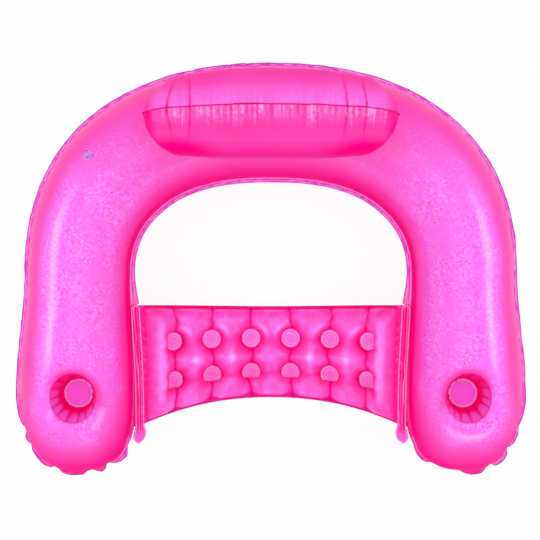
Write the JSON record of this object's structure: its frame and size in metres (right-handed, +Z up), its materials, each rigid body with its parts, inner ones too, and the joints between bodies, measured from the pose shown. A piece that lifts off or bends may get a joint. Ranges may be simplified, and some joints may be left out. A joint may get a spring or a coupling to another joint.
{
  "type": "inflatable pool lounger",
  "caption": "U-shaped inflatable lounger with a pillow on its back, a quilted seat slung between its arms, a can holder in each arm tip and a push-in valve on each air chamber.",
  "frame": {"origin": "centre of the lounger's outline on the surface that it lies on", "axes": "+X to the sitter's left arm rest as the picture shows it on the right, +Y towards the pillow, +Z up"},
  "size_m": [1.335, 1.081, 0.4831],
  "materials": {
    "pink_vinyl": "gloss",
    "clear_vinyl": "gloss"
  },
  "bodies": {
    "lounger": {"tube_upper_sheet": "pink_vinyl", "tube_lower_sheet": "pink_vinyl", "pillow_rear_sheet": "pink_vinyl", "pillow_front_sheet": "pink_vinyl", "seat_upper_sheet": "pink_vinyl", "seat_lower_sheet": "pink_vinyl", "seat_end_strip_left": "pink_vinyl", "seat_end_strip_right": "pink_vinyl", "cup_wall_left": "pink_vinyl", "cup_wall_right": "pink_vinyl", "cup_floor_left": "pink_vinyl", "cup_floor_right": "pink_vinyl", "tube_valve_base": "clear_vinyl", "pillow_valve_base": "clear_vinyl", "seat_valve_base": "clear_vinyl"},
    "tube_stem": {"tube_valve_stem": "clear_vinyl", "tube_valve_tether": "clear_vinyl"},
    "tube_plug": {"tube_valve_plug": "clear_vinyl"},
    "tube_flap": {"tube_valve_flap": "clear_vinyl"},
    "pillow_stem": {"pillow_valve_stem": "clear_vinyl", "pillow_valve_tether": "clear_vinyl"},
    "pillow_plug": {"pillow_valve_plug": "clear_vinyl"},
    "pillow_flap": {"pillow_valve_flap": "clear_vinyl"},
    "seat_stem": {"seat_valve_stem": "clear_vinyl", "seat_valve_tether": "clear_vinyl"},
    "seat_plug": {"seat_valve_plug": "clear_vinyl"},
    "seat_flap": {"seat_valve_flap": "clear_vinyl"}
  },
  "joints": [
    {"name": "tube_stem_pull", "type": "slide", "parent": "lounger", "child": "tube_stem", "axis": [-0.3495, 0.2902, 0.8909], "range_m": [0, 0.014]},
    {"name": "tube_plug_pull", "type": "slide", "parent": "tube_stem", "child": "tube_plug", "axis": [-0.3495, 0.2902, 0.8909], "range_m": [0, 0.009], "deforming": ["tube_valve_tether"]},
    {"name": "tube_flap_swing", "type": "hinge", "parent": "tube_stem", "child": "tube_flap", "pos_m": [-0.45362, 0.28237, 0.25323], "axis": [0, 0.9508, -0.3097], "range_deg": [0, 35], "stiffness_Nm_per_rad": 0.0001},
    {"name": "pillow_stem_pull", "type": "slide", "parent": "lounger", "child": "pillow_stem", "axis": [0.1014, 0.984, 0.1466], "range_m": [0, 0.014]},
    {"name": "pillow_plug_pull", "type": "slide", "parent": "pillow_stem", "child": "pillow_plug", "axis": [0.1014, 0.984, 0.1466], "range_m": [0, 0.009], "deforming": ["pillow_valve_tether"]},
    {"name": "pillow_flap_swing", "type": "hinge", "parent": "pillow_stem", "child": "pillow_flap", "pos_m": [0.11823, 0.46248, 0.38781], "axis": [0, 0.1474, -0.9891], "range_deg": [0, 35], "stiffness_Nm_per_rad": 0.0001},
    {"name": "seat_stem_pull", "type": "slide", "parent": "lounger", "child": "seat_stem", "axis": [0.3514, -0.1924, -0.9162], "range_m": [0, 0.014]},
    {"name": "seat_plug_pull", "type": "slide", "parent": "seat_stem", "child": "seat_plug", "axis": [0.3514, -0.1924, -0.9162], "range_m": [0, 0.009], "deforming": ["seat_valve_tether"]},
    {"name": "seat_flap_swing", "type": "hinge", "parent": "seat_stem", "child": "seat_flap", "pos_m": [0.29805, -0.2622, 0.08441], "axis": [0, -0.9787, 0.2055], "range_deg": [0, 35], "stiffness_Nm_per_rad": 0.0001}
  ]
}
